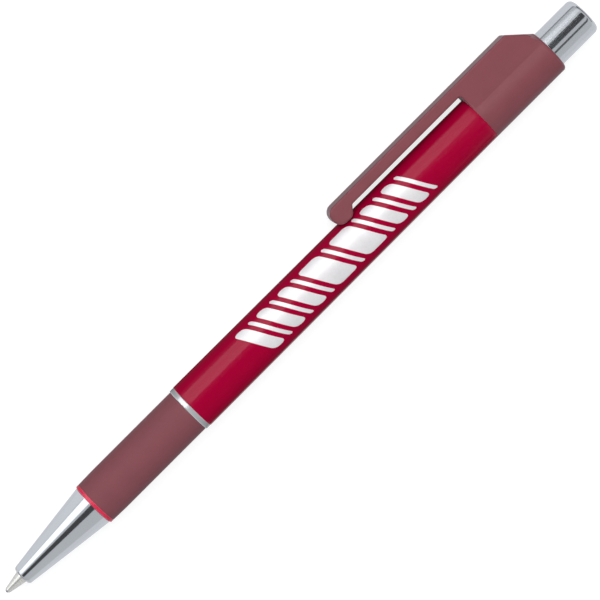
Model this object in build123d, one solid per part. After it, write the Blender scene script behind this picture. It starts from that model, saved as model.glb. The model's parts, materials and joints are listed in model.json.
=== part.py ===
from build123d import *
from math import asin, atan2, cos, degrees, hypot, pi, radians, sin, tan
import os

# Retractable ballpoint pen, in millimetres.
# Every piece is drawn in the pen's own frame: the axis of the barrel is X, the ball is at X = 0, the push
# button is at the far end and the clip stands out along +Y. settle() then turns the pen about its axis until
# the clip's edge and the barrel both touch the table, and puts the origin at the bottom centre of its box.
# The pen is drawn with its point out, so the slides can go 5 mm back to the stored position.

# ---- outside: lengths along the axis ----
tip_reach = 3.75  # ball to the nose's mouth, point out
nose_length = 17.4
flange_width = 0.6
grip_length = 22.25
ring_width = 0.95
barrel_length = 69.75
cap_length = 16.6
button_reach = 8.7  # how far the button stands out, point out

# ---- outside: radii ----
barrel_radius = 4.55  # at the ring, where the pen is thickest
barrel_taper = 0.19  # lost from the radius on the way to the cap
ring_inset = 0.06
grip_inset = 0.23
grip_taper = 0.08
grip_taper_length = 3.0
nose_step = 0.20  # flange to the rear edge of the nose
nose_lip_wall = 0.66
nose_lip_round = 0.55
nose_bulge = 0.02  # how far the nose's side bows out of a straight cone

# ---- clip and the block that it grows out of ----
clip_gap = 1.02  # barrel to the underside of the arm
clip_thickness = 2.06
clip_side_inset = 0.51  # barrel's side to the flat side of the clip
clip_length = 30.4  # cap's front face to the clip's end
clip_bead_drop = 1.55  # arm's underside to the bottom of the bead
clip_bead_length = 3.13
clip_bead_slope = 50.0  # degrees
clip_bead_clearance = 0.20
clip_end_round = 1.72
clip_bead_round = 1.2  # where the bead's bottom turns up to the arm
clip_neck_round = 0.40
clip_root_round = 0.45
clip_root_length = 1.5  # cap's front face to the line where the arm bends
cap_slope_length = 4.0
cap_slope_drop = 3.62
cap_slope_round = 0.50
moulded_edge_round = 0.35
cap_end_round = 0.60
shoulder_slope = 0.6  # length along the axis for each mm that the cap's end shoulder widens

# ---- walls ----
barrel_wall = 0.52
barrel_shoulder = 0.40
spigot_wall = 0.85
spigot_length = 7.2
grip_wall = 0.80
core_wall = 0.90
nose_thread_wall = 0.62
nose_thread_length = 5.8
nose_lip_bore_clearance = 0.05
cap_wall = 0.52
cap_end_wall = 1.60
thread_pitch = 0.8
thread_lead = 1.0  # shoulder to the first groove
thread_runout = 0.4  # last groove to the spigot's end
thread_end_gap = 0.3  # nose's spigot to the floor of its socket
edge_round = 0.15
small_round = 0.10
thread_wall_share = 6  # the wall that a thread is cut in, over the depth of its grooves
root_overlap = 0.20  # how far a rib starts inside its tube, so that the two join
cut_margin = 0.10  # how far a cutter reaches past what it cuts

# ---- refill ----
ball_radius = 0.40
ball_clearance = 0.015
ball_showing = 0.30
holder_lip_radius = 0.50
holder_radius = 1.15
holder_cone_length = 3.3
holder_shoulder_round = 1.5
holder_length = 18.7  # lip to the end inside the socket
ink_feed_radius = 0.35
socket_flange_radius = 1.75
socket_flange_width = 1.0
socket_body_length = 2.0
socket_spigot_length = 3.0
refill_radius = 1.50
refill_bore = 1.00
refill_rear_gap = 0.10  # refill to the rotor's face
ink_length = 63.0
follower_length = 3.0

# ---- return spring ----
spring_seat = 6.25  # nose's mouth to the seat
spring_length = 7.0  # at rest, point out
spring_wire_radius = 0.175
spring_turns = 8
spring_bore_clearance = 0.25
spring_end_gap = 0.02

# ---- click mechanism ----
stroke_back = 5.0  # point out to point in
grooves = 4
groove_angle = 26.0
rib_angle = 18.0
spline_depth = 0.45
slide_clearance = 0.10
guide_wall = 0.85
guide_front_reach = 4.3  # spline tips to the guide's front end
guide_inside_cap = 6.6
spline_reach = 6.9  # cap's front face to the spline tips
tooth_height = 0.60
latch_gap = 0.30  # spline tips to the rotor, so that it turns clear of them
crown_gap = 0.20  # rotor's teeth to the plunger's teeth
crown_teeth = 8
rotor_length = 4.3
rotor_stub_length = 2.9
rotor_stub_clearance = 0.10
rotor_pilot_length = 4.0
rotor_pilot_clearance = 0.08
plunger_wall = 0.86
plunger_rib_length = 6.5
plunger_rib_reach = 1.3  # plunger's front to its ribs
plunger_flange_width = 1.0
plunger_flange_clearance = 0.08
button_catch = 0.23  # how much smaller the cap's hole is than its bore
button_clearance = 0.05
button_wall = 0.525
button_end_wall = 0.7
button_edge_round = 1.0
button_bore_margin = 3.3  # end of the plunger's bore to the button's end wall

# ---- stations along the axis, from the ball ----
x_mouth = tip_reach
x_flange = x_mouth + nose_length
x_grip = x_flange + flange_width
x_ring = x_grip + grip_length
x_barrel = x_ring + ring_width
x_cap = x_barrel + barrel_length
x_cap_end = x_cap + cap_length
x_button_end = x_cap_end + button_reach
x_spring = x_mouth + spring_seat
x_socket = x_spring + spring_length
x_tube = x_socket + socket_flange_width + socket_body_length
x_spline = x_cap - spline_reach
x_rotor_rear = x_spline - latch_gap
x_rotor = x_rotor_rear - rotor_length
x_tube_end = x_rotor - refill_rear_gap
x_plunger = x_rotor_rear + crown_gap
x_end_wall = x_cap_end - cap_end_wall
x_plunger_flange = x_end_wall - stroke_back - slide_clearance - plunger_flange_width
x_button = x_plunger_flange + plunger_flange_width
x_clip_end = x_cap - clip_length
x_clip_root = x_cap - clip_root_length

# ---- radii that follow from the sizes above ----
barrel_radius_rear = barrel_radius - barrel_taper
grip_radius = barrel_radius - grip_inset
flange_radius = grip_radius - grip_taper
nose_rear_radius = flange_radius - nose_step
barrel_bore = barrel_radius_rear - barrel_wall
barrel_inner = barrel_bore - barrel_shoulder
spigot_radius = barrel_radius - spigot_wall
core_radius = grip_radius - grip_wall
core_bore = core_radius - core_wall
nose_thread_radius = core_radius - nose_thread_wall
nose_bore = socket_flange_radius + spring_bore_clearance
mouth_bore = holder_radius + nose_lip_bore_clearance
nose_mouth_outer = mouth_bore + nose_lip_wall
spring_mean_radius = (holder_radius + nose_bore) / 2
cap_bore = barrel_radius_rear - cap_wall
button_hole = cap_bore - button_catch
button_radius = button_hole - button_clearance
button_bore = button_radius - button_wall
groove_radius = cap_bore - guide_wall
spline_radius = groove_radius - spline_depth
rib_radius = groove_radius - slide_clearance
slider_radius = spline_radius - slide_clearance
plunger_bore = slider_radius - plunger_wall
clip_underside = barrel_radius_rear + clip_gap
clip_face = clip_underside + clip_thickness
clip_half_width = barrel_radius_rear - clip_side_inset
clip_bead_bottom = clip_underside - clip_bead_drop


def outline(points, rounds):
    """Closed face through the points, with the corners in rounds (index: radius) rounded."""
    face = make_face(Polyline(*points, close=True))
    for index, radius in rounds.items():
        x, y = points[index]
        corner = face.vertices().sort_by_distance((x, y, 0))[0]
        face = fillet(corner, radius)
    return face


def turned(points, rounds=None):
    """Solid turned about the pen's axis from (x, radius) points."""
    return revolve(outline(points, rounds or {}), Axis.X)


def tube(x0, x1, inner, outer):
    return turned([(x0, inner), (x1, inner), (x1, outer), (x0, outer)])


def rod(x0, x1, radius):
    return turned([(x0, 0), (x1, 0), (x1, radius), (x0, radius)])


def thread_grooves(x0, x1, bore, radius):
    """V grooves for a spigot with this bore and radius, standing for a screw thread."""
    count = int((x1 - x0) / thread_pitch)
    depth = (radius - bore) / thread_wall_share
    cuts = []
    for turn in range(count):
        x = x0 + thread_pitch * turn
        cuts.append(
            turned(
                [
                    (x, radius + depth),
                    (x + thread_pitch / 2, radius - depth),
                    (x + thread_pitch, radius + depth),
                ]
            )
        )
    return cuts


def around(piece, count, start=0.0):
    """Copies of a piece, evenly spaced around the pen's axis."""
    return [Rot(X=start + 360.0 * turn / count) * piece for turn in range(count)]


def sector(x0, x1, inner, outer, angle):
    """Piece of a tube that spans this angle, centred on +Y."""
    ring = revolve(outline([(x0, inner), (x1, inner), (x1, outer), (x0, outer)], {}), Axis.X, angle)
    return Rot(X=-angle / 2) * ring


def ramp_cut(x, width, height, inner, outer):
    """Wedge that slopes the end of a rib: full height at one side, nothing at the other, centred on +Y."""
    profile = Polyline((x, -width / 2), (x, width / 2), (x + height, width / 2), close=True)
    wedge = extrude(Plane.XZ * make_face(profile), amount=outer, dir=(0, 1, 0))
    return wedge - rod(x - abs(height), x + abs(height), inner)


def crown(x, height, inner, outer):
    """Ring of crown_teeth notches that point along +X when height is positive, cut from a tube's end at x."""
    width = 2 * pi * outer / crown_teeth
    profile = Polyline((x, -width / 2), (x + height, 0), (x, width / 2), close=True)
    notch = extrude(Plane.XZ * make_face(profile), amount=outer + cut_margin, dir=(0, 1, 0))
    return around(notch - rod(x - abs(height), x + abs(height), inner), crown_teeth)


def nose_cone():
    """Plated cone: slightly bowed side, rounded lip, spring seat inside and a thread behind."""
    rear = (x_flange, nose_rear_radius)
    front = (x_mouth, nose_mouth_outer)
    side = SagittaArc(rear, front, nose_bulge)
    if side.position_at(0.5).Y < (rear[1] + front[1]) / 2:
        side = SagittaArc(rear, front, -nose_bulge)
    section = [
        (x_mouth, mouth_bore),
        (x_spring, mouth_bore),
        (x_spring, nose_bore),
        (x_flange + nose_thread_length, nose_bore),
        (x_flange + nose_thread_length, nose_thread_radius),
        (x_flange, nose_thread_radius),
        rear,
    ]
    face = make_face([*Polyline(*section).edges(), side, Line(front, section[0])])
    for point, radius in ((front, nose_lip_round), (rear, small_round)):
        corner = face.vertices().sort_by_distance((point[0], point[1], 0))[0]
        face = fillet(corner, radius)
    cone = revolve(face, Axis.X)
    x_thread = x_flange + thread_lead
    x_thread_end = x_flange + nose_thread_length - thread_runout
    return cone - thread_grooves(x_thread, x_thread_end, nose_bore, nose_thread_radius)


def lower_barrel():
    """Core under the grip: flange in front, nose thread inside, spigot for the upper barrel behind."""
    x_end = x_barrel + spigot_length
    x_floor = x_flange + nose_thread_length + thread_end_gap
    section = [
        (x_flange, nose_thread_radius),
        (x_floor, nose_thread_radius),
        (x_floor, core_bore),
        (x_end, core_bore),
        (x_end, spigot_radius),
        (x_ring, spigot_radius),
        (x_ring, core_radius),
        (x_grip, core_radius),
        (x_grip, flange_radius),
        (x_flange, flange_radius),
    ]
    core = turned(section, {9: small_round})
    return core - thread_grooves(x_barrel + thread_lead, x_end - thread_runout, core_bore, spigot_radius)


def grip_sleeve():
    """Soft sleeve, a little slimmer at its front edge."""
    section = [
        (x_grip, core_radius),
        (x_ring, core_radius),
        (x_ring, grip_radius),
        (x_grip + grip_taper_length, grip_radius),
        (x_grip, flange_radius),
    ]
    return turned(section, {2: edge_round, 4: small_round})


def centre_ring():
    radius = barrel_radius - ring_inset
    section = [(x_ring, spigot_radius), (x_barrel, spigot_radius), (x_barrel, radius), (x_ring, radius)]
    return turned(section, {2: edge_round, 3: edge_round})


def upper_barrel():
    """Long tapered tube with a socket at each end."""
    x_guide = x_spline - guide_front_reach
    x_end = x_barrel + spigot_length
    section = [
        (x_barrel, spigot_radius),
        (x_end, spigot_radius),
        (x_end, barrel_inner),
        (x_guide, barrel_inner),
        (x_guide, barrel_bore),
        (x_cap, barrel_bore),
        (x_cap, barrel_radius_rear),
        (x_barrel, barrel_radius),
    ]
    return turned(section, {6: small_round, 7: small_round})


def moulding():
    """Cap and clip as the one piece that they are moulded in."""
    bead_rise = clip_bead_drop / tan(radians(clip_bead_slope))
    side = [
        (x_cap, 0),
        (x_cap_end, 0),
        (x_cap_end, clip_face - cap_slope_drop),
        (x_cap_end - cap_slope_length, clip_face),
        (x_clip_end, clip_face),
        (x_clip_end, clip_bead_bottom),
        (x_clip_end + clip_bead_length, clip_bead_bottom),
        (x_clip_end + clip_bead_length + bead_rise, clip_underside),
        (x_cap, clip_underside),
    ]
    rounds = {
        3: cap_slope_round,
        4: clip_end_round,
        5: clip_end_round,
        6: clip_bead_round,
        7: clip_neck_round,
        8: clip_root_round,
    }
    blade = extrude(outline(side, rounds), amount=clip_half_width, both=True)
    rims = [edge for edge in blade.edges() if abs(abs(edge.center().Z) - clip_half_width) < 1e-3]
    blade = fillet(rims, moulded_edge_round)
    end_radius = barrel_radius_rear - cap_end_round
    reach = 2 * clip_face
    x_ahead = x_clip_end - cut_margin
    shoulder = [
        (x_ahead, 0),
        (x_cap_end, 0),
        (x_cap_end, end_radius),
        (x_cap_end - (reach - end_radius) * shoulder_slope, reach),
        (x_ahead, reach),
    ]
    cap = [(x_cap, 0), (x_cap_end, 0), (x_cap_end, barrel_radius_rear), (x_cap, barrel_radius_rear)]
    above_slope = [
        (x_cap_end - cap_slope_length, clip_face),
        (x_cap_end + cap_slope_length, clip_face - 2 * cap_slope_drop),
        (x_cap_end + cap_slope_length, reach),
    ]
    trimmed = turned(cap, {2: cap_end_round}) - extrude(outline(above_slope, {}), amount=reach, both=True)
    body = (blade & turned(shoulder)) + trimmed
    body -= rod(x_cap, x_end_wall, cap_bore)
    body -= rod(x_end_wall, x_cap_end, button_hole)
    saddle = barrel_radius + clip_bead_clearance
    return body - rod(x_ahead, x_clip_root, saddle)


def split_moulding():
    """The moulding cut across the root of the arm, where it bends."""
    whole = moulding()
    reach = 2 * clip_face
    ahead = Pos(x_clip_root - clip_length, 0, 0) * Box(2 * clip_length, 2 * reach, 2 * reach)
    return whole - ahead, whole & ahead


def guide_sleeve():
    """Sleeve that joins barrel and cap; its splines have sloped ends that the rotor rests on."""
    x0 = x_spline - guide_front_reach
    x1 = x_cap + guide_inside_cap
    sleeve = tube(x0, x1, groove_radius, cap_bore)
    spline_angle = 360.0 / grooves - groove_angle
    spline = sector(x_spline, x1, spline_radius, groove_radius + root_overlap, spline_angle)
    width = 2 * groove_radius * sin(radians(spline_angle / 4)) + 2 * cut_margin
    for side in (-1, 1):
        ramp = ramp_cut(x_spline, width, tooth_height, spline_radius - cut_margin, groove_radius + cut_margin)
        spline -= Rot(X=side * spline_angle / 4) * ramp
    return sleeve + around(spline, grooves, start=180.0 / grooves)


def plunger():
    """Tube inside the button: toothed front, ribs that run in the grooves, and the flange that stops it."""
    x_stem_end = x_button_end - button_end_wall
    section = [
        (x_plunger, plunger_bore),
        (x_stem_end - button_bore_margin, plunger_bore),
        (x_stem_end - button_bore_margin, 0),
        (x_stem_end, 0),
        (x_stem_end, button_bore),
        (x_button, button_bore),
        (x_button, cap_bore - plunger_flange_clearance),
        (x_plunger_flange, cap_bore - plunger_flange_clearance),
        (x_plunger_flange, slider_radius),
        (x_plunger, slider_radius),
    ]
    x_rib = x_plunger + plunger_rib_reach
    rib = sector(x_rib, x_rib + plunger_rib_length, slider_radius - root_overlap, rib_radius, rib_angle)
    body = turned(section) + around(rib, grooves)
    return body - crown(x_plunger, tooth_height, plunger_bore - cut_margin, slider_radius)


def push_button():
    """Plated thimble over the plunger's stem."""
    x_inner_end = x_button_end - button_end_wall
    section = [
        (x_button, button_bore),
        (x_inner_end, button_bore),
        (x_inner_end, 0),
        (x_button_end, 0),
        (x_button_end, button_radius),
        (x_button, button_radius),
    ]
    return turned(section, {4: button_edge_round})


def rotor_cam():
    """Rotor between refill and plunger: ribs with sloped ends, teeth behind, and a stub in the refill."""
    stub = rod(x_rotor - rotor_stub_length, x_rotor, refill_bore - rotor_stub_clearance)
    body = rod(x_rotor, x_rotor_rear, slider_radius)
    pilot = rod(x_rotor_rear, x_rotor_rear + rotor_pilot_length, plunger_bore - rotor_pilot_clearance)
    body -= crown(x_rotor_rear, -tooth_height, plunger_bore - rotor_pilot_clearance, slider_radius)
    rib_root = slider_radius - root_overlap
    rib = sector(x_rotor + tooth_height, x_rotor_rear, rib_root, rib_radius, rib_angle)
    width = 2 * rib_radius * sin(radians(rib_angle / 2)) + 2 * cut_margin
    slope = ramp_cut(x_rotor_rear, width, -tooth_height, rib_root - cut_margin, rib_radius + cut_margin)
    return body + stub + pilot + around(rib - slope, grooves)


def refill_tube():
    return tube(x_tube, x_tube_end, refill_bore, refill_radius)


def tip_socket():
    """Adapter between point holder and tube; the spring bears on its flange."""
    x_holder_end = ball_showing + holder_length
    x_flange_rear = x_socket + socket_flange_width
    x_end = x_tube + socket_spigot_length
    section = [
        (x_socket, holder_radius),
        (x_holder_end, holder_radius),
        (x_holder_end, ink_feed_radius),
        (x_end, ink_feed_radius),
        (x_end, refill_bore),
        (x_tube, refill_bore),
        (x_tube, refill_radius),
        (x_flange_rear, refill_radius),
        (x_flange_rear, socket_flange_radius),
        (x_socket, socket_flange_radius),
    ]
    return turned(section)


def refill_tip():
    """Point holder: a cone that closes over the ball, and a long cylinder."""
    x_lip = ball_showing
    x_end = x_lip + holder_length
    section = [(x_lip, 0), (x_end, 0), (x_end, holder_radius), (x_lip + holder_cone_length, holder_radius)]
    section.append((x_lip, holder_lip_radius))
    body = turned(section, {3: holder_shoulder_round})
    seat = Pos(ball_radius, 0, 0) * Sphere(ball_radius + ball_clearance)
    return body - seat - rod(ball_radius, x_end, ink_feed_radius)


def writing_ball():
    return Pos(ball_radius, 0, 0) * Sphere(ball_radius)


def ink_column():
    x0 = x_tube + socket_spigot_length
    return rod(x0, x0 + ink_length, refill_bore)


def ink_follower():
    x0 = x_tube + socket_spigot_length + ink_length
    return rod(x0, x0 + follower_length, refill_bore)


def return_spring():
    """Helical spring between the nose's seat and the socket's flange."""
    inset = spring_wire_radius + spring_end_gap
    height = spring_length - 2 * inset
    centre = (x_spring + inset, 0, 0)
    path = Helix(height / spring_turns, height, spring_mean_radius, center=centre, direction=(1, 0, 0))
    section = Plane(origin=path @ 0, z_dir=path % 0) * Circle(spring_wire_radius)
    return sweep(section, path=path)


def resting_roll():
    """Degrees that the clip points below level when its rounded corner and the barrel are on the table."""
    across = clip_face - moulded_edge_round
    up = clip_half_width - moulded_edge_round
    drop = asin((barrel_radius - moulded_edge_round) / hypot(across, up))
    return degrees(drop - atan2(up, across))


def settle(piece):
    """From the pen's own frame to the frame of the whole part."""
    roll = radians(resting_roll())
    across = clip_face - moulded_edge_round
    up = clip_half_width - moulded_edge_round
    y_high = across * cos(roll) + up * sin(roll) + moulded_edge_round
    y_centre = (y_high - barrel_radius) / 2
    return Pos(-x_button_end / 2, -y_centre, barrel_radius) * Rot(X=-degrees(roll)) * piece


def main():
    top_housing, clip_arm = split_moulding()
    pieces = {
        "nose_cone": nose_cone(),
        "lower_barrel": lower_barrel(),
        "grip_sleeve": grip_sleeve(),
        "centre_ring": centre_ring(),
        "upper_barrel": upper_barrel(),
        "top_housing": top_housing,
        "clip_arm": clip_arm,
        "guide_sleeve": guide_sleeve(),
        "plunger": plunger(),
        "push_button": push_button(),
        "rotor_cam": rotor_cam(),
        "refill_tube": refill_tube(),
        "tip_socket": tip_socket(),
        "refill_tip": refill_tip(),
        "writing_ball": writing_ball(),
        "ink_column": ink_column(),
        "ink_follower": ink_follower(),
        "return_spring": return_spring(),
    }
    os.makedirs("parts", exist_ok=True)
    for name, piece in pieces.items():
        export_step(settle(piece), f"parts/{name}.step")


main()
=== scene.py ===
import json
from math import asin, atan2, cos, hypot, pi, radians, sin, sqrt, tan

import bmesh
import bpy
from mathutils import Matrix, Vector


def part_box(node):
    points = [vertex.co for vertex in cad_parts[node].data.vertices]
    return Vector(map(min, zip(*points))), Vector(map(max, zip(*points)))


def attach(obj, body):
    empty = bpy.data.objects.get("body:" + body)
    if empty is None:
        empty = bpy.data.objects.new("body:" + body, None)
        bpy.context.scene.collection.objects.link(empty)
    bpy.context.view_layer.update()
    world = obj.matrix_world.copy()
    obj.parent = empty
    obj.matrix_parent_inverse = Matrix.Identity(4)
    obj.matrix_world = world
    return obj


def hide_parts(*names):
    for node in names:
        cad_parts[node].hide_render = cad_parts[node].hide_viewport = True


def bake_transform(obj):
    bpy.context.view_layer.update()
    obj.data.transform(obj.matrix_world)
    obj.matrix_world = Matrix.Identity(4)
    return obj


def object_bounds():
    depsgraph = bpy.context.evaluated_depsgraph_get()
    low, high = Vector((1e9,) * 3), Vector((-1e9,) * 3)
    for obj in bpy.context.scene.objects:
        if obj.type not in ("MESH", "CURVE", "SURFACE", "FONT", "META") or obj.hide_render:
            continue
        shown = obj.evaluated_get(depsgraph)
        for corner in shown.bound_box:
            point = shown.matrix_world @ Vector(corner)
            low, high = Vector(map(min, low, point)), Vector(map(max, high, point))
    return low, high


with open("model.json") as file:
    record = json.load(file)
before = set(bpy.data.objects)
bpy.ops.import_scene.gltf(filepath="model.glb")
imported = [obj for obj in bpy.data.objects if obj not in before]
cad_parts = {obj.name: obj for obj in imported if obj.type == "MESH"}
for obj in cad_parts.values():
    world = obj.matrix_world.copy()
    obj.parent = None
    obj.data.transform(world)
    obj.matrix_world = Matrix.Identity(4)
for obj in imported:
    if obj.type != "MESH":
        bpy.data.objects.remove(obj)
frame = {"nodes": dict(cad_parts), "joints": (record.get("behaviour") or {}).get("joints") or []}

cad_low, cad_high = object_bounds()

# Retractable ballpoint pen. The pen's sizes are in millimetres and become metres in place().
# The pen's own frame: x along the axis, u towards the clip, v square to both.
MM = 0.001
TURNS = 192  # faces around a turned piece
TAU = 2 * pi


# ---- the pen's axis, roll and stations, from the CAD ----
def span(node, axis):
    """The node's lowest and highest place along an axis, in millimetres."""
    low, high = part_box(node)
    return low[axis] / MM, high[axis] / MM


def radius_of(node):
    """Half the height of a round node."""
    low, high = span(node, 2)
    return (high - low) / 2


ring_low, ring_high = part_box("centre_ring")
AXIS_Y = (ring_low.y + ring_high.y) / 2
AXIS_Z = (ring_low.z + ring_high.z) / 2
hinge = next(j for j in frame["joints"] if j["name"] == "clip_flex")
ROLL = atan2(-hinge["axis"][1], -hinge["axis"][2])

x_ball = span("writing_ball", 0)[0]
x_mouth, x_nose_end = span("nose_cone", 0)
x_flange, x_spigot = span("lower_barrel", 0)
x_grip, x_ring = span("grip_sleeve", 0)
x_barrel, x_cap = span("upper_barrel", 0)
x_button, x_button_end = span("push_button", 0)
x_root = span("clip_arm", 0)[1]
x_holder, x_holder_end = span("refill_tip", 0)
x_spring = span("return_spring", 0)[0]


def place(x, u, v):
    """A point of the pen's own frame, in the frame of the whole part, in metres."""
    y = u * cos(ROLL) + v * sin(ROLL)
    z = v * cos(ROLL) - u * sin(ROLL)
    return Vector((x * MM, AXIS_Y + y * MM, AXIS_Z + z * MM))


# ---- shapes ----
WORN_ROUND = 1.0  # edges rounder than this don't wear
ON_AXIS = 1e-6  # a ring smaller than this is one point
NEAR_AXIS = 0.01  # a line that starts closer to the axis than this isn't split


def rounded(points, radii, steps=8):
    """The closed outline as (x, y, wear) points, with the corners in radii (index: radius) rounded."""
    path = []
    count = len(points)
    for i, (x, y) in enumerate(points):
        if i not in radii:
            path.append((x, y, 0.0))
            continue
        before, here, after = Vector(points[i - 1]), Vector((x, y)), Vector(points[(i + 1) % count])
        a, b = (before - here).normalized(), (after - here).normalized()
        half = a.angle(b) / 2
        reach = radii[i] / tan(half)
        middle = here + (a + b).normalized() * (radii[i] / sin(half))
        start, end = here + a * reach - middle, here + b * reach - middle
        turn = start.angle_signed(end)
        for k in range(steps + 1):
            arm = start.copy()
            arm.rotate(Matrix.Rotation(-turn * k / steps, 2))
            worn = sin(pi * k / steps) if radii[i] < WORN_ROUND else 0.0
            path.append((middle.x + arm.x, middle.y + arm.y, worn))
    return path


def finish_mesh(bm, name, crease=28.0):
    """A smooth object from the mesh, with a hard edge where faces meet at more than crease degrees."""
    bmesh.ops.recalc_face_normals(bm, faces=bm.faces)
    mesh = bpy.data.meshes.new(name)
    bm.to_mesh(mesh)
    bm.free()
    mesh.shade_smooth()
    mesh.set_sharp_from_angle(angle=radians(crease))
    piece = bpy.data.objects.new(name, mesh)
    bpy.context.scene.collection.objects.link(piece)
    return piece


def turned(name, outline, turns=TURNS, fine=0.6):
    """A piece turned about the pen's axis from a closed outline of (x, radius, wear) points."""
    bm = bmesh.new()
    wear = bm.verts.layers.float.new("wear")
    path = []
    for a, b in zip(outline, outline[1:] + outline[:1]):
        length = hypot(b[0] - a[0], b[1] - a[1])
        pieces = max(1, int(length / fine)) if a[1] > NEAR_AXIS else 1
        for k in range(pieces):
            path.append(tuple(a[i] + (b[i] - a[i]) * k / pieces for i in range(3)))
    rings = []
    for x, r, worn in path:
        count = 1 if r < ON_AXIS else turns
        ring = []
        for k in range(count):
            angle = TAU * k / turns
            vertex = bm.verts.new(place(x, r * cos(angle), r * sin(angle)))
            vertex[wear] = worn
            ring.append(vertex)
        rings.append(ring)
    for a, b in zip(rings, rings[1:] + rings[:1]):
        if len(a) == 1 and len(b) == 1:
            continue
        for k in range(turns):
            n = (k + 1) % turns
            if len(a) == 1:
                bm.faces.new((a[0], b[k], b[n]))
            elif len(b) == 1:
                bm.faces.new((a[k], a[n], b[0]))
            else:
                bm.faces.new((a[k], a[n], b[n], b[k]))
    return finish_mesh(bm, name)


# ---- materials ----
RUB_SIZE = 0.5
GRAIN_DEPTH = 0.02


def material(name):
    """A new material, with its nodes and links."""
    made = bpy.data.materials.new(name)
    made.use_nodes = True
    return made, made.node_tree.nodes, made.node_tree.links


def surface(
    name,
    colour,
    worn,
    roughness=(0.35, 0.45),
    metallic=0.0,
    tone_size=3.0,
    tone=0.10,
    grain_size=0.15,
    grain=0.05,
    stretch=(1.0, 1.0, 1.0),
    **constants,
):
    """A finish with drifting tone, fine grain in the surface, uneven gloss and paler worn edges."""
    made, nodes, links = material(name)
    shader = nodes["Principled BSDF"]
    shader.inputs["Metallic"].default_value = metallic
    for socket, value in constants.items():
        shader.inputs[socket.replace("_", " ")].default_value = value

    place_at = nodes.new("ShaderNodeTexCoord")
    drift = nodes.new("ShaderNodeTexNoise")
    drift.inputs["Scale"].default_value = 1 / (tone_size * MM)
    drift.inputs["Detail"].default_value = 4.0
    links.new(place_at.outputs["Object"], drift.inputs["Vector"])

    shades = nodes.new("ShaderNodeValToRGB")
    low, high = shades.color_ramp.elements
    low.position, high.position = 0.3, 0.7
    low.color = (*[c * (1 - tone) for c in colour], 1)
    high.color = (*[min(1.0, c * (1 + tone)) for c in colour], 1)
    links.new(drift.outputs["Fac"], shades.inputs["Fac"])

    wear = nodes.new("ShaderNodeAttribute")
    wear.attribute_name = "wear"
    rub = nodes.new("ShaderNodeTexNoise")
    rub.inputs["Scale"].default_value = 1 / (RUB_SIZE * MM)
    links.new(place_at.outputs["Object"], rub.inputs["Vector"])
    rubbed = nodes.new("ShaderNodeMath")
    rubbed.operation = "MULTIPLY"
    links.new(wear.outputs["Fac"], rubbed.inputs[0])
    links.new(rub.outputs["Fac"], rubbed.inputs[1])
    mix = nodes.new("ShaderNodeMix")
    mix.data_type = "RGBA"
    links.new(rubbed.outputs[0], mix.inputs["Factor"])
    links.new(shades.outputs["Color"], mix.inputs["A"])
    mix.inputs["B"].default_value = (*worn, 1)
    links.new(mix.outputs["Result"], shader.inputs["Base Color"])

    spread = nodes.new("ShaderNodeMapping")
    spread.inputs["Scale"].default_value = stretch
    links.new(place_at.outputs["Object"], spread.inputs["Vector"])
    fine = nodes.new("ShaderNodeTexNoise")
    fine.inputs["Scale"].default_value = 1 / (grain_size * MM)
    fine.inputs["Detail"].default_value = 3.0
    links.new(spread.outputs["Vector"], fine.inputs["Vector"])
    bump = nodes.new("ShaderNodeBump")
    bump.inputs["Strength"].default_value = grain
    bump.inputs["Distance"].default_value = GRAIN_DEPTH * MM
    links.new(fine.outputs["Fac"], bump.inputs["Height"])
    links.new(bump.outputs["Normal"], shader.inputs["Normal"])

    gloss = nodes.new("ShaderNodeMapRange")
    gloss.inputs["From Min"].default_value = 0.3
    gloss.inputs["From Max"].default_value = 0.7
    gloss.inputs["To Min"].default_value = roughness[0]
    gloss.inputs["To Max"].default_value = roughness[1]
    links.new(fine.outputs["Fac"], gloss.inputs["Value"])
    links.new(gloss.outputs["Result"], shader.inputs["Roughness"])
    return made


def srgb(r, g, b):
    """Linear colour from the 0 to 255 values of a paint chart."""
    return tuple((c / 255 / 12.92) if c < 11 else ((c / 255 + 0.055) / 1.055) ** 2.4 for c in (r, g, b))


def chrome(name):
    """Bright plating: fine polishing lines around the axis."""
    return surface(
        name,
        (0.80, 0.815, 0.84),
        (0.88, 0.88, 0.88),
        roughness=(0.09, 0.13),
        metallic=1.0,
        tone_size=6.0,
        tone=0.02,
        grain_size=0.6,
        grain=0.02,
        stretch=(8.0, 1.0, 1.0),
    )


nose_plating = chrome("nose_plating")
ring_plating = surface(
    "ring_plating", (0.60, 0.61, 0.62), (0.78, 0.78, 0.78), roughness=(0.16, 0.24), metallic=0.4, tone=0.03,
    grain_size=0.3, grain=0.05, stretch=(6.0, 1.0, 1.0),
)
button_plating = chrome("button_plating")
cap_plastic = surface(
    "cap_plastic", srgb(129, 68, 75), srgb(160, 104, 108), roughness=(0.36, 0.48), tone=0.04, grain=0.08,
    Specular_IOR_Level=0.25, Sheen_Weight=0.2, Sheen_Roughness=0.4,
)
grip_rubber = surface(
    "grip_rubber", srgb(126, 68, 75), srgb(150, 98, 102), roughness=(0.60, 0.75), tone=0.04,
    grain_size=0.10, grain=0.25, Specular_IOR_Level=0.3, Sheen_Weight=0.2, Sheen_Roughness=0.4,
)
barrel_plastic = surface(
    "barrel_plastic", srgb(160, 0, 48), srgb(175, 30, 60), roughness=(0.08, 0.13), tone=0.02,
    grain_size=0.05, grain=0.02, Specular_IOR_Level=0.2,
)
core_plastic = surface(
    "core_plastic", srgb(225, 40, 75), srgb(240, 120, 140), roughness=(0.25, 0.35), tone=0.05, grain=0.04,
    Subsurface_Weight=0.3, Subsurface_Scale=0.001,
)
imprint_ink = surface(
    "imprint_ink", srgb(238, 234, 234), srgb(215, 208, 208), roughness=(0.25, 0.40), metallic=0.15,
    tone_size=2.0, tone=0.05, grain_size=0.08, grain=0.15,
)
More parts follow.
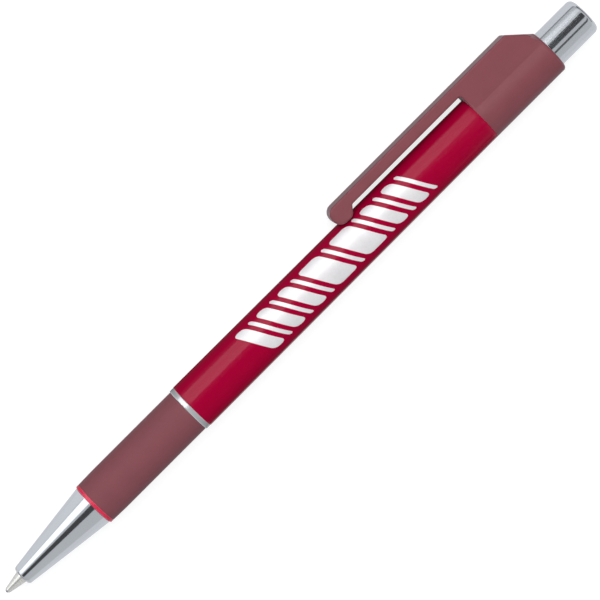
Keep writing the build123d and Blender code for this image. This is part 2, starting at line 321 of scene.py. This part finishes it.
guide_plastic = surface("guide_plastic", srgb(226, 224, 216), srgb(245, 244, 240), tone=0.03, grain=0.08)
rotor_plastic = surface("rotor_plastic", srgb(214, 214, 210), srgb(240, 240, 236), tone=0.03, grain=0.08)
plunger_plastic = surface("plunger_plastic", srgb(58, 58, 62), srgb(110, 110, 112), tone=0.08, grain=0.10)
socket_plastic = surface("socket_plastic", srgb(232, 230, 224), srgb(248, 247, 244), tone=0.03, grain=0.06)
refill_plastic = surface(
    "refill_plastic", srgb(236, 236, 232), srgb(248, 248, 246), roughness=(0.20, 0.30), tone=0.02,
    grain=0.03, Transmission_Weight=0.6, IOR=1.49,
)
ink_paste = surface(
    "ink", srgb(14, 18, 46), srgb(30, 36, 80), roughness=(0.15, 0.25), tone=0.15, grain=0.05
)
follower_grease = surface(
    "follower_grease", srgb(214, 196, 140), srgb(230, 220, 180), roughness=(0.10, 0.20), tone=0.05,
    grain=0.05, Transmission_Weight=0.5, IOR=1.45,
)
spring_steel = surface(
    "spring_steel", (0.56, 0.57, 0.58), (0.75, 0.75, 0.75), roughness=(0.18, 0.30), metallic=1.0, tone=0.06,
    grain=0.05,
)
holder_metal = surface(
    "holder_metal", (0.85, 0.83, 0.78), (0.92, 0.90, 0.86), roughness=(0.20, 0.32), metallic=0.7, tone=0.04,
    grain_size=0.6, grain=0.05, stretch=(12.0, 1.0, 1.0),
)
ball_metal = surface(
    "ball_metal", (0.55, 0.56, 0.58), (0.8, 0.8, 0.8), roughness=(0.10, 0.22), metallic=1.0, tone=0.08,
    grain_size=0.05, grain=0.05,
)


def dress(piece, body, look):
    """The piece with its material, riding on its body."""
    piece.data.materials.clear()
    piece.data.materials.append(look)
    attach(piece, body)
    return piece


# ---- nose ----
LIP_WALL = 0.66
LIP_ROUND = 0.55
NOSE_BULGE = 0.02
SIDE_STEPS = 40
SMALL_ROUND = 0.10
EDGE_ROUND = 0.15
MOUTH_ROUND = 0.06
MOUTH_CLEARANCE = 0.05
SPRING_CLEARANCE = 0.25
nose_radius = radius_of("nose_cone")
holder_radius = radius_of("refill_tip")
mouth_bore = holder_radius + MOUTH_CLEARANCE
mouth_outer = mouth_bore + LIP_WALL
nose_bore = radius_of("tip_socket") + SPRING_CLEARANCE
nose_thread_radius = 2.90


def nose():
    """Plated cone with a bowed side, a rounded lip and a smooth bore."""
    side = []
    for k in range(1, SIDE_STEPS):
        t = k / SIDE_STEPS
        x = x_flange + (x_mouth - x_flange) * t
        r = nose_radius + (mouth_outer - nose_radius) * t + 4 * NOSE_BULGE * t * (1 - t)
        side.append((x, r))
    corners = [(x_mouth, mouth_bore), (x_spring, mouth_bore), (x_spring, nose_bore)]
    corners += [(x_nose_end, nose_bore), (x_nose_end, nose_thread_radius)]
    corners += [(x_flange, nose_thread_radius), (x_flange, nose_radius)]
    rear = len(corners) - 1
    corners += side
    corners.append((x_mouth, mouth_outer))
    path = rounded(corners, {0: MOUTH_ROUND, rear: SMALL_ROUND, len(corners) - 1: LIP_ROUND})
    return turned("nose", path)


piece = dress(nose(), "pen_body", nose_plating)
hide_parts("nose_cone")

# ---- grip, ring, core and barrel ----
GRIP_TAPER = 0.08
GRIP_TAPER_LENGTH = 3.0
GRIP_TAPER_ROUND = 2.0
GRIP_WALL = 0.80
CORE_WALL = 0.90
SOCKET_GAP = 0.3  # rear end of the nose to the floor of its socket
BARREL_TAPER = 0.19
BARREL_WALL = 0.52
BARREL_SHOULDER = 0.40
GUIDE_REACH = 11.2  # rear end of the barrel to the front end of the guide sleeve
grip_radius = radius_of("grip_sleeve")
flange_radius = grip_radius - GRIP_TAPER
core_radius = grip_radius - GRIP_WALL
core_bore = core_radius - CORE_WALL
spigot_radius = 3.70
barrel_front = radius_of("upper_barrel")
barrel_rear = barrel_front - BARREL_TAPER
barrel_bore = barrel_rear - BARREL_WALL


def core():
    """Translucent core: the bright flange in front, the nose's socket and the barrel's spigot."""
    x_floor = x_nose_end + SOCKET_GAP
    path = [(x_flange, nose_thread_radius), (x_floor, nose_thread_radius), (x_floor, core_bore)]
    path += [(x_spigot, core_bore), (x_spigot, spigot_radius), (x_ring, spigot_radius)]
    path += [(x_ring, core_radius), (x_grip, core_radius), (x_grip, flange_radius), (x_flange, flange_radius)]
    return turned("core", rounded(path, {8: SMALL_ROUND / 2, 9: SMALL_ROUND}))


def grip():
    """Soft sleeve, a little slimmer at its front edge, with rolled edges."""
    path = [(x_grip, core_radius), (x_ring, core_radius), (x_ring, grip_radius)]
    path += [(x_grip + GRIP_TAPER_LENGTH, grip_radius), (x_grip, flange_radius)]
    return turned("grip", rounded(path, {2: EDGE_ROUND, 3: GRIP_TAPER_ROUND, 4: SMALL_ROUND}))


def ring():
    """Metal ring between the grip and the barrel."""
    outer = radius_of("centre_ring")
    path = [(x_ring, spigot_radius), (x_barrel, spigot_radius), (x_barrel, outer), (x_ring, outer)]
    return turned("ring", rounded(path, {2: EDGE_ROUND, 3: EDGE_ROUND}), fine=0.2)


def barrel_surface(x):
    """The barrel's radius at x."""
    return barrel_front + (barrel_rear - barrel_front) * (x - x_barrel) / (x_cap - x_barrel)


def barrel():
    """Long tapered tube."""
    x_guide = x_cap - GUIDE_REACH
    inner = barrel_bore - BARREL_SHOULDER
    path = [(x_barrel, spigot_radius), (x_spigot, spigot_radius), (x_spigot, inner), (x_guide, inner)]
    path += [(x_guide, barrel_bore), (x_cap, barrel_bore), (x_cap, barrel_rear), (x_barrel, barrel_front)]
    return turned("barrel", rounded(path, {6: SMALL_ROUND, 7: SMALL_ROUND}))


piece = dress(core(), "pen_body", core_plastic)
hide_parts("lower_barrel")
piece = dress(grip(), "pen_body", grip_rubber)
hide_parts("grip_sleeve")
piece = dress(ring(), "pen_body", ring_plating)
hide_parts("centre_ring")
piece = dress(barrel(), "pen_body", barrel_plastic)
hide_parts("upper_barrel")

# ---- imprint: slanted bars of pearl ink on the barrel ----
INK_HEIGHT = 0.012
INK_ROOT = -0.01  # the ink's edge goes this far into the barrel
IMPRINT_START = 60.2  # front of the ball to the front edge of the first bar
IMPRINT_TURN = radians(5.4)  # from v towards u
IMPRINT_HALF = radians(46)  # how far a bar reaches around the barrel, from its middle
SLANT = 0.55  # mm along the axis for each mm around the barrel
BAR_ROWS, BAR_COLUMNS = 48, 16
BAR_TIP = 0.08  # share of a bar's width that is left at its ends
BARS = (2.4, 0.8, 2.4, 0.8, 2.4, 0.8, 4.6, 0.8, 4.6, 0.8, 2.4, 0.8, 2.4, 0.8)
BAR_GAP = 0.95
BAR_CORNER = 0.9


def imprint():
    """Bars with rounded corners, each a grid bent around the barrel, with a skirt at its edge."""
    bm = bmesh.new()
    x = x_ball + IMPRINT_START
    for width in BARS:
        grid = []
        corner = min(BAR_CORNER, width / 2)
        for i in range(-1, BAR_ROWS + 2):
            row = []
            s = 2 * min(max(i, 0), BAR_ROWS) / BAR_ROWS - 1
            angle = s * IMPRINT_HALF
            over = max(0.0, corner - (1 - abs(s)) * IMPRINT_HALF * barrel_front)
            share = max(BAR_TIP, 1 - 2 * (corner - sqrt(corner * corner - over * over)) / width)
            for j in range(-1, BAR_COLUMNS + 2):
                t = min(max(j, 0), BAR_COLUMNS) / BAR_COLUMNS - 0.5
                here = x + width / 2 + width * t * share + SLANT * barrel_front * angle
                edge = i in (-1, BAR_ROWS + 1) or j in (-1, BAR_COLUMNS + 1)
                radius = barrel_surface(here) + (INK_ROOT if edge else INK_HEIGHT)
                turn = pi / 2 - IMPRINT_TURN + angle
                row.append(bm.verts.new(place(here, radius * cos(turn), radius * sin(turn))))
            grid.append(row)
        for a, b in zip(grid, grid[1:]):
            for j in range(len(a) - 1):
                bm.faces.new((a[j], a[j + 1], b[j + 1], b[j]))
        x += width + BAR_GAP
    return finish_mesh(bm, "imprint")


dress(imprint(), "pen_body", imprint_ink)


# ---- cap and clip: one moulding, with closer rows near the clip's root ----
ROW_SPACING = 0.5
ROWS_BEFORE, ROWS_AFTER = 8.0, 1.0  # how far the closer rows reach on either side of the root
SAME_POINT = 1e-7  # metres, as is the next one
JOINED_POINT = 1e-6
FLAT_ANGLE = radians(0.3)


def welded(node):
    """A closed copy of a CAD node's mesh."""
    bm = bmesh.new()
    bm.from_mesh(frame["nodes"][node].data)
    bmesh.ops.remove_doubles(bm, verts=bm.verts, dist=SAME_POINT)
    return finish_mesh(bm, node + "_copy")


def moulding():
    """Housing and arm joined in one skin, with closer rows near the clip's root."""
    whole, arm = welded("top_housing"), welded("clip_arm")
    join = whole.modifiers.new("join", "BOOLEAN")
    join.operation = "UNION"
    join.solver = "EXACT"
    join.object = arm
    joined = whole.evaluated_get(bpy.context.evaluated_depsgraph_get()).to_mesh()
    bm = bmesh.new()
    bm.from_mesh(joined)
    bpy.data.objects.remove(whole)
    bpy.data.objects.remove(arm)
    bmesh.ops.remove_doubles(bm, verts=bm.verts, dist=JOINED_POINT)
    bmesh.ops.dissolve_limit(
        bm, angle_limit=FLAT_ANGLE, use_dissolve_boundaries=False, verts=bm.verts, edges=bm.edges
    )
    x = x_root - ROWS_BEFORE
    while x < x_root + ROWS_AFTER:
        everything = bm.verts[:] + bm.edges[:] + bm.faces[:]
        bmesh.ops.bisect_plane(
            bm, geom=everything, dist=SAME_POINT, plane_co=(x * MM, 0, 0), plane_no=(1, 0, 0)
        )
        x += ROW_SPACING
    made = finish_mesh(bm, "cap_and_clip")
    made.modifiers.new("normals", "WEIGHTED_NORMAL").keep_sharp = True
    return made


piece = moulding()
piece.data.materials.append(cap_plastic)
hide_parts("top_housing", "clip_arm")
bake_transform(piece)

# ---- push button ----
BUTTON_ROUND = 1.0
BUTTON_EDGE = 0.08
BUTTON_WALL = 0.525
BUTTON_END_WALL = 0.7
button_radius = radius_of("push_button")
button_bore = button_radius - BUTTON_WALL


def button():
    """Plated thimble with a round end."""
    x_inner = x_button_end - BUTTON_END_WALL
    path = [(x_button, button_bore), (x_inner, button_bore), (x_inner, 0), (x_button_end, 0)]
    path += [(x_button_end, button_radius), (x_button, button_radius)]
    return turned("button", rounded(path, {4: BUTTON_ROUND, 5: BUTTON_EDGE}))


piece = dress(button(), "button", button_plating)
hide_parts("push_button")

# ---- point ----
LIP_RADIUS = 0.50
CONE_LENGTH = 3.3
SHOULDER_ROUND = 1.5
LIP_EDGE = 0.03
FEED_RADIUS = 0.35
BALL_CLEARANCE = 0.015
SEAT_STEPS = 12
BALL_STEPS = 32
BALL_TURNS = 64
ball_low, ball_high = span("writing_ball", 0)
ball_radius = (ball_high - ball_low) / 2
x_centre = (ball_low + ball_high) / 2


def point():
    """Point holder: cone with a spun lip, long cylinder and the ink's feed."""
    seat = ball_radius + BALL_CLEARANCE
    path = [(x_holder_end, FEED_RADIUS), (x_holder_end, holder_radius)]
    path += [(x_holder + CONE_LENGTH, holder_radius), (x_holder, LIP_RADIUS)]
    start = sqrt(seat * seat - (x_centre - x_holder) ** 2)
    first = atan2(start, x_holder - x_centre)
    last = asin(FEED_RADIUS / seat)
    for k in range(SEAT_STEPS + 1):
        angle = first + (last - first) * k / SEAT_STEPS
        path.append((x_centre + seat * cos(angle), seat * sin(angle)))
    return turned("point", rounded(path, {1: SMALL_ROUND, 2: SHOULDER_ROUND, 3: LIP_EDGE}), fine=0.3)


def ball():
    """Writing ball, turned from half a circle."""
    path = []
    for k in range(BALL_STEPS + 1):
        angle = pi * k / BALL_STEPS
        r = ball_radius * sin(angle) if 0 < k < BALL_STEPS else 0.0
        path.append((x_centre - ball_radius * cos(angle), r, 0.0))
    return turned("ball", path, turns=BALL_TURNS)


piece = dress(point(), "refill", holder_metal)
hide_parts("refill_tip")
piece = dress(ball(), "ball", ball_metal)
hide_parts("writing_ball")

# ---- return spring: one end on the nose's seat, the other on the refill ----
piece = welded("return_spring")
piece.name = "spring"
piece.data.materials.append(spring_steel)
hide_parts("return_spring")
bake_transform(piece)

# ---- other inner works keep their CAD meshes ----
LOOKS = {
    "guide_sleeve": guide_plastic,
    "plunger": plunger_plastic,
    "rotor_cam": rotor_plastic,
    "refill_tube": refill_plastic,
    "tip_socket": socket_plastic,
    "ink_column": ink_paste,
    "ink_follower": follower_grease,
}
for node, look in LOOKS.items():
    for used in frame["nodes"][node].material_slots:
        used.material = look

# ---- camera ----
CAMERA_TILT = ROLL + IMPRINT_TURN  # the camera looks straight at the imprint
CAMERA_DISTANCE = 0.62
LENS, SENSOR = 217.3, 36.0
AIM_ALONG = 0.9
AIM_ACROSS = -0.22
towards = Vector((0, sin(CAMERA_TILT), cos(CAMERA_TILT)))
across = Vector((0, cos(CAMERA_TILT), -sin(CAMERA_TILT)))
along = Vector((1, 0, 0))
target = Vector((AIM_ALONG * MM, AXIS_Y, AXIS_Z)) + across * AIM_ACROSS * MM
camera = bpy.data.objects.new("camera", bpy.data.cameras.new("camera"))
bpy.context.scene.collection.objects.link(camera)
camera.data.lens = LENS
camera.data.sensor_width = SENSOR
camera.data.clip_start, camera.data.clip_end = 0.01, 50.0
camera.location = target + towards * CAMERA_DISTANCE
right, up = (along - across).normalized(), (along + across).normalized()
camera.rotation_euler = Matrix((right, up, towards)).transposed().to_euler()
bpy.context.scene.camera = camera


# ---- studio ----
def sheet(name, centre, width, length, facing):
    """A flat card, long along the pen's axis."""
    bm = bmesh.new()
    side = facing.cross(along).normalized()
    corners = []
    for a, b in ((-1, -1), (1, -1), (1, 1), (-1, 1)):
        corners.append(bm.verts.new(centre + along * a * length / 2 + side * b * width / 2))
    bm.faces.new(corners)
    card = finish_mesh(bm, name)
    return card


def glow(name, colour, strength):
    """A material that only gives light."""
    made, nodes, links = material(name)
    nodes.clear()
    light = nodes.new("ShaderNodeEmission")
    light.inputs["Color"].default_value = (*colour, 1)
    light.inputs["Strength"].default_value = strength
    out = nodes.new("ShaderNodeOutputMaterial")
    links.new(light.outputs[0], out.inputs["Surface"])
    return made


CARD_COLOUR = (0.93, 0.96, 1.0)


def reflected(name, start, end, value, x0=-1.2, x1=1.2, distance=0.85):
    """A card that only shows in shiny surfaces. Angles go from the camera towards the clip's side."""
    angle, half = radians(start + end) / 2, radians(end - start) / 2
    facing = towards * cos(angle) + across * sin(angle)
    centre = Vector((0, target.y, target.z)) + facing * distance + along * (x0 + x1) / 2
    card = sheet(name, centre, 2 * distance * tan(half), x1 - x0, -facing)
    card.data.materials.append(glow(name, CARD_COLOUR, value))
    card.visible_camera = False
    card.visible_diffuse = False
    card.visible_shadow = False


def glowing_floor():
    """Pale light table that curves up to a wall: mostly lit from within, so shadows on it stay faint."""
    bm = bmesh.new()
    flat, bend, high, sides, steps = 3.0, 1.0, 5.0, 64, 8
    path = [(0.0, 0.0), (flat, 0.0)]
    for k in range(1, steps + 1):
        angle = pi / 2 * k / steps
        path.append((flat + bend * sin(angle), bend - bend * cos(angle)))
    path.append((flat + bend, high))
    rings = []
    for r, z in path:
        ring = []
        for k in range(sides if r else 1):
            ring.append(bm.verts.new((r * cos(TAU * k / sides), r * sin(TAU * k / sides), z + cad_low.z)))
        rings.append(ring)
    for a, b in zip(rings, rings[1:]):
        for k in range(sides):
            n = (k + 1) % sides
            bm.faces.new((a[0], b[k], b[n]) if len(a) == 1 else (a[k], b[k], b[n], a[n]))
    table = finish_mesh(bm, "floor", crease=80)
    pale, nodes, links = material("pale_floor")
    shader = nodes["Principled BSDF"]
    shader.inputs["Base Color"].default_value = (0.30, 0.30, 0.30, 1)
    shader.inputs["Roughness"].default_value = 0.9
    shader.inputs["Specular IOR Level"].default_value = 0.0
    shader.inputs["Emission Color"].default_value = (1, 1, 1, 1)
    shader.inputs["Emission Strength"].default_value = 0.80
    table.data.materials.append(pale)
    table.visible_glossy = False
    table.visible_diffuse = False
    table.visible_shadow = False


glowing_floor()

# where the cards for the nose end and those for the button start, in metres along the pen
NOSE_END, BUTTON_START = -0.15, 0.115
LOW_NOSE_END, LOW_BUTTON_START = -0.078, 0.098  # the same for the cards under the pen, which are nearer
LOW_DISTANCE = 0.4
reflected("card_dark_nose", -21, 8, 0.06, x1=NOSE_END)
reflected("card_bright_nose", 20, 57, 1.35, x1=NOSE_END)
reflected("card_back_nose", 62, 118, 0.74, x1=NOSE_END)
reflected("card_front_nose", -140, -88, 0.68, x1=NOSE_END)
reflected("card_dark", -110, 11, 0.05, x0=NOSE_END, x1=BUTTON_START)
reflected("card_bright", 14, 66, 2.6, x0=NOSE_END, x1=BUTTON_START)
reflected("card_dark_button", -14, 20, 0.06, x0=BUTTON_START)
reflected("card_bright_button", 32, 56, 0.76, x0=BUTTON_START)
reflected("card_line_button", -44, -33, 0.10, x0=BUTTON_START)
reflected("card_back_button", 84, 138, 0.72, x0=BUTTON_START)
reflected("card_front_button", -138, -84, 0.66, x0=BUTTON_START)
reflected("card_under_nose", 118, 242, 0.70, x1=LOW_NOSE_END, distance=LOW_DISTANCE)
reflected("card_under_button", 118, 242, 0.70, x0=LOW_BUTTON_START, distance=LOW_DISTANCE)
reflected("card_rim", -178, -145, 0.6, LOW_NOSE_END, LOW_BUTTON_START, LOW_DISTANCE)


def studio_sky():
    """Soft light from above the horizon, and nearly none from below it."""
    world = bpy.data.worlds.new("studio")
    bpy.context.scene.world = world
    world.use_nodes = True
    nodes, links = world.node_tree.nodes, world.node_tree.links
    direction = nodes.new("ShaderNodeTexCoord")
    height = nodes.new("ShaderNodeSeparateXYZ")
    shift = nodes.new("ShaderNodeMapRange")
    shift.inputs["From Min"].default_value = -1.0
    horizon = nodes.new("ShaderNodeValToRGB")
    below, above = horizon.color_ramp.elements
    below.position, above.position = 0.44, 0.56
    below.color = (0.08, 0.08, 0.09, 1)
    above.color = (0.50, 0.52, 0.54, 1)
    links.new(direction.outputs["Generated"], height.inputs[0])
    links.new(height.outputs["Z"], shift.inputs["Value"])
    links.new(shift.outputs["Result"], horizon.inputs["Fac"])
    links.new(horizon.outputs["Color"], nodes["Background"].inputs["Color"])


studio_sky()


def lamp(name, angle, lean, size, power, distance=1.4):
    """A soft light that doesn't show in shiny surfaces."""
    facing = towards * cos(radians(angle)) + across * sin(radians(angle)) + along * lean
    facing.normalize()
    light = bpy.data.objects.new(name, bpy.data.lights.new(name, "AREA"))
    bpy.context.scene.collection.objects.link(light)
    light.data.shape = "DISK"
    light.data.size = size
    light.data.energy = power
    light.location = target + facing * distance
    light.rotation_euler = facing.to_track_quat("Z", "Y").to_euler()
    light.visible_glossy = False
    light.visible_camera = False


lamp("key", angle=15, lean=0.1, size=1.0, power=12.5)
lamp("fill", angle=-60, lean=-0.2, size=1.2, power=1.5)

view = bpy.context.scene.view_settings
view.view_transform = "Standard"
view.look = "None"
view.exposure = 0.0
view.gamma = 1.0
